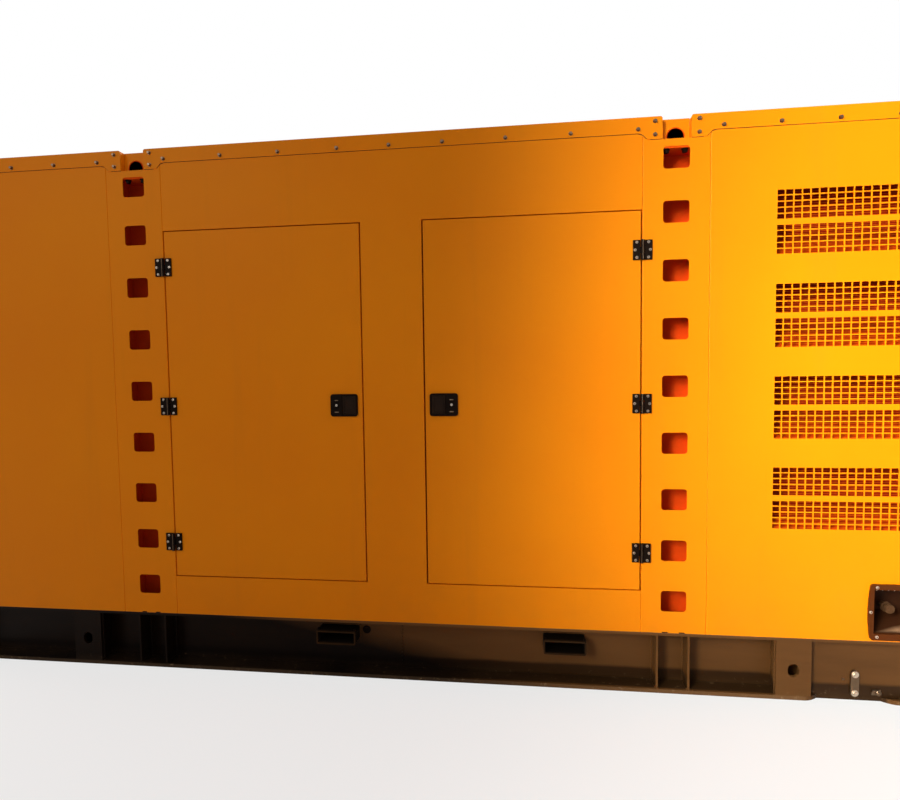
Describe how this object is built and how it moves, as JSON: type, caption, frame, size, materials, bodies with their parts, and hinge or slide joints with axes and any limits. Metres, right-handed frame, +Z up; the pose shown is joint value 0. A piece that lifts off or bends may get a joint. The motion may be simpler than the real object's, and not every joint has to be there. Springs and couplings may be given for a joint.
{
  "type": "canopied diesel generating set",
  "caption": "Silent diesel generating set: orange sheet-steel canopy with hinged doors, perforated lifting-post covers and punched air grilles on a black steel skid with fork pockets",
  "frame": {"origin": "on the floor under the middle of the footprint", "axes": "+X along the machine from the radiator end to the intake end, +Y from the pictured long side to the other one, +Z up"},
  "size_m": [4.531, 1.73, 2.261],
  "materials": {
    "canopy_paint": "orange-yellow powder coat, satin, lightly dusty",
    "skid_paint": "gloss black paint, scuffed along the flanges",
    "bright_zinc": "bare bright steel, zinc plated",
    "hose_rubber": "smooth black rubber hose",
    "battery_case": "black battery case with lead terminals",
    "cabinet_paint": "light grey powder coat",
    "seal_rubber": "matt black rubber",
    "acoustic_foam": "charcoal acoustic foam",
    "black_moulding": "black moulded plastic, fine grain",
    "fitting_black": "black coated fittings",
    "engine_paint": "dark grey engine enamel",
    "alternator_paint": "grey enamel on cast iron",
    "radiator_paint": "black painted radiator",
    "silencer_steel": "aluminised steel"
  },
  "bodies": {
    "canopy_and_skid": {"skid_rail_front": "skid_paint", "skid_rail_rear": "skid_paint", "skid_plates": "skid_paint", "skid_ends": "skid_paint", "cross_members": "skid_paint", "fork_pockets": "skid_paint", "base_floor": "skid_paint", "earth_bar": "bright_zinc", "lifting_posts": "canopy_paint", "lifting_plates": "canopy_paint", "post_cover_left_front": "canopy_paint", "post_cover_right_front": "canopy_paint", "post_cover_left_rear": "canopy_paint", "post_cover_right_rear": "canopy_paint", "left_wall_front": "canopy_paint", "left_wall_rear": "canopy_paint", "left_end_wall": "canopy_paint", "discharge_louvre": "canopy_paint", "left_roof": "canopy_paint", "mid_frame_front": "canopy_paint", "mid_frame_rear": "canopy_paint", "mid_roof": "canopy_paint", "door_seals": "seal_rubber", "right_wall_front": "canopy_paint", "right_wall_rear": "canopy_paint", "intake_grille_front": "canopy_paint", "intake_grille_rear": "canopy_paint", "right_end_wall": "canopy_paint", "right_roof": "canopy_paint", "intake_baffles": "canopy_paint", "service_recess": "black_moulding", "service_caps": "black_moulding", "roof_gutters": "canopy_paint", "acoustic_lining": "acoustic_foam", "frame_hinges": "fitting_black", "engine": "engine_paint", "alternator": "alternator_paint", "radiator": "radiator_paint", "cooling_fan": "radiator_paint", "coolant_hoses": "hose_rubber", "air_filter": "black_moulding", "exhaust_silencer": "silencer_steel", "batteries": "battery_case", "control_cabinet": "cabinet_paint"},
    "door_left_front": {"door_left_front": "canopy_paint", "door_left_front_lining": "acoustic_foam", "door_left_front_fittings": "fitting_black"},
    "door_left_front_paddle": {"door_left_front_paddle": "fitting_black"},
    "door_left_rear": {"door_left_rear": "canopy_paint", "door_left_rear_lining": "acoustic_foam", "door_left_rear_fittings": "fitting_black"},
    "door_left_rear_paddle": {"door_left_rear_paddle": "fitting_black"},
    "door_right_front": {"door_right_front": "canopy_paint", "door_right_front_lining": "acoustic_foam", "door_right_front_fittings": "fitting_black"},
    "door_right_front_paddle": {"door_right_front_paddle": "fitting_black"},
    "door_right_rear": {"door_right_rear": "canopy_paint", "door_right_rear_lining": "acoustic_foam", "door_right_rear_fittings": "fitting_black"},
    "door_right_rear_paddle": {"door_right_rear_paddle": "fitting_black"}
  },
  "joints": [
    {"name": "door_left_front_hinge", "type": "hinge", "parent": "canopy_and_skid", "child": "door_left_front", "pos_m": [-1.2025, -0.858, 1.166], "axis": [0, 0, -1], "range_deg": [0, 120]},
    {"name": "door_left_front_paddle_hinge", "type": "hinge", "parent": "door_left_front", "child": "door_left_front_paddle", "pos_m": [-0.4235, -0.853, 1.166], "axis": [0, 0, -1], "range_deg": [0, 35], "stiffness_Nm_per_rad": 0.6},
    {"name": "door_left_rear_hinge", "type": "hinge", "parent": "canopy_and_skid", "child": "door_left_rear", "pos_m": [-1.2025, 0.858, 1.166], "axis": [0, 0, 1], "range_deg": [0, 120]},
    {"name": "door_left_rear_paddle_hinge", "type": "hinge", "parent": "door_left_rear", "child": "door_left_rear_paddle", "pos_m": [-0.4235, 0.853, 1.166], "axis": [0, 0, 1], "range_deg": [0, 35], "stiffness_Nm_per_rad": 0.6},
    {"name": "door_right_front_hinge", "type": "hinge", "parent": "canopy_and_skid", "child": "door_right_front", "pos_m": [0.7825, -0.858, 1.166], "axis": [0, 0, 1], "range_deg": [0, 120]},
    {"name": "door_right_front_paddle_hinge", "type": "hinge", "parent": "door_right_front", "child": "door_right_front_paddle", "pos_m": [0.0035, -0.853, 1.166], "axis": [0, 0, 1], "range_deg": [0, 35], "stiffness_Nm_per_rad": 0.6},
    {"name": "door_right_rear_hinge", "type": "hinge", "parent": "canopy_and_skid", "child": "door_right_rear", "pos_m": [0.7825, 0.858, 1.166], "axis": [0, 0, -1], "range_deg": [0, 120]},
    {"name": "door_right_rear_paddle_hinge", "type": "hinge", "parent": "door_right_rear", "child": "door_right_rear_paddle", "pos_m": [0.0035, 0.853, 1.166], "axis": [0, 0, -1], "range_deg": [0, 35], "stiffness_Nm_per_rad": 0.6}
  ]
}
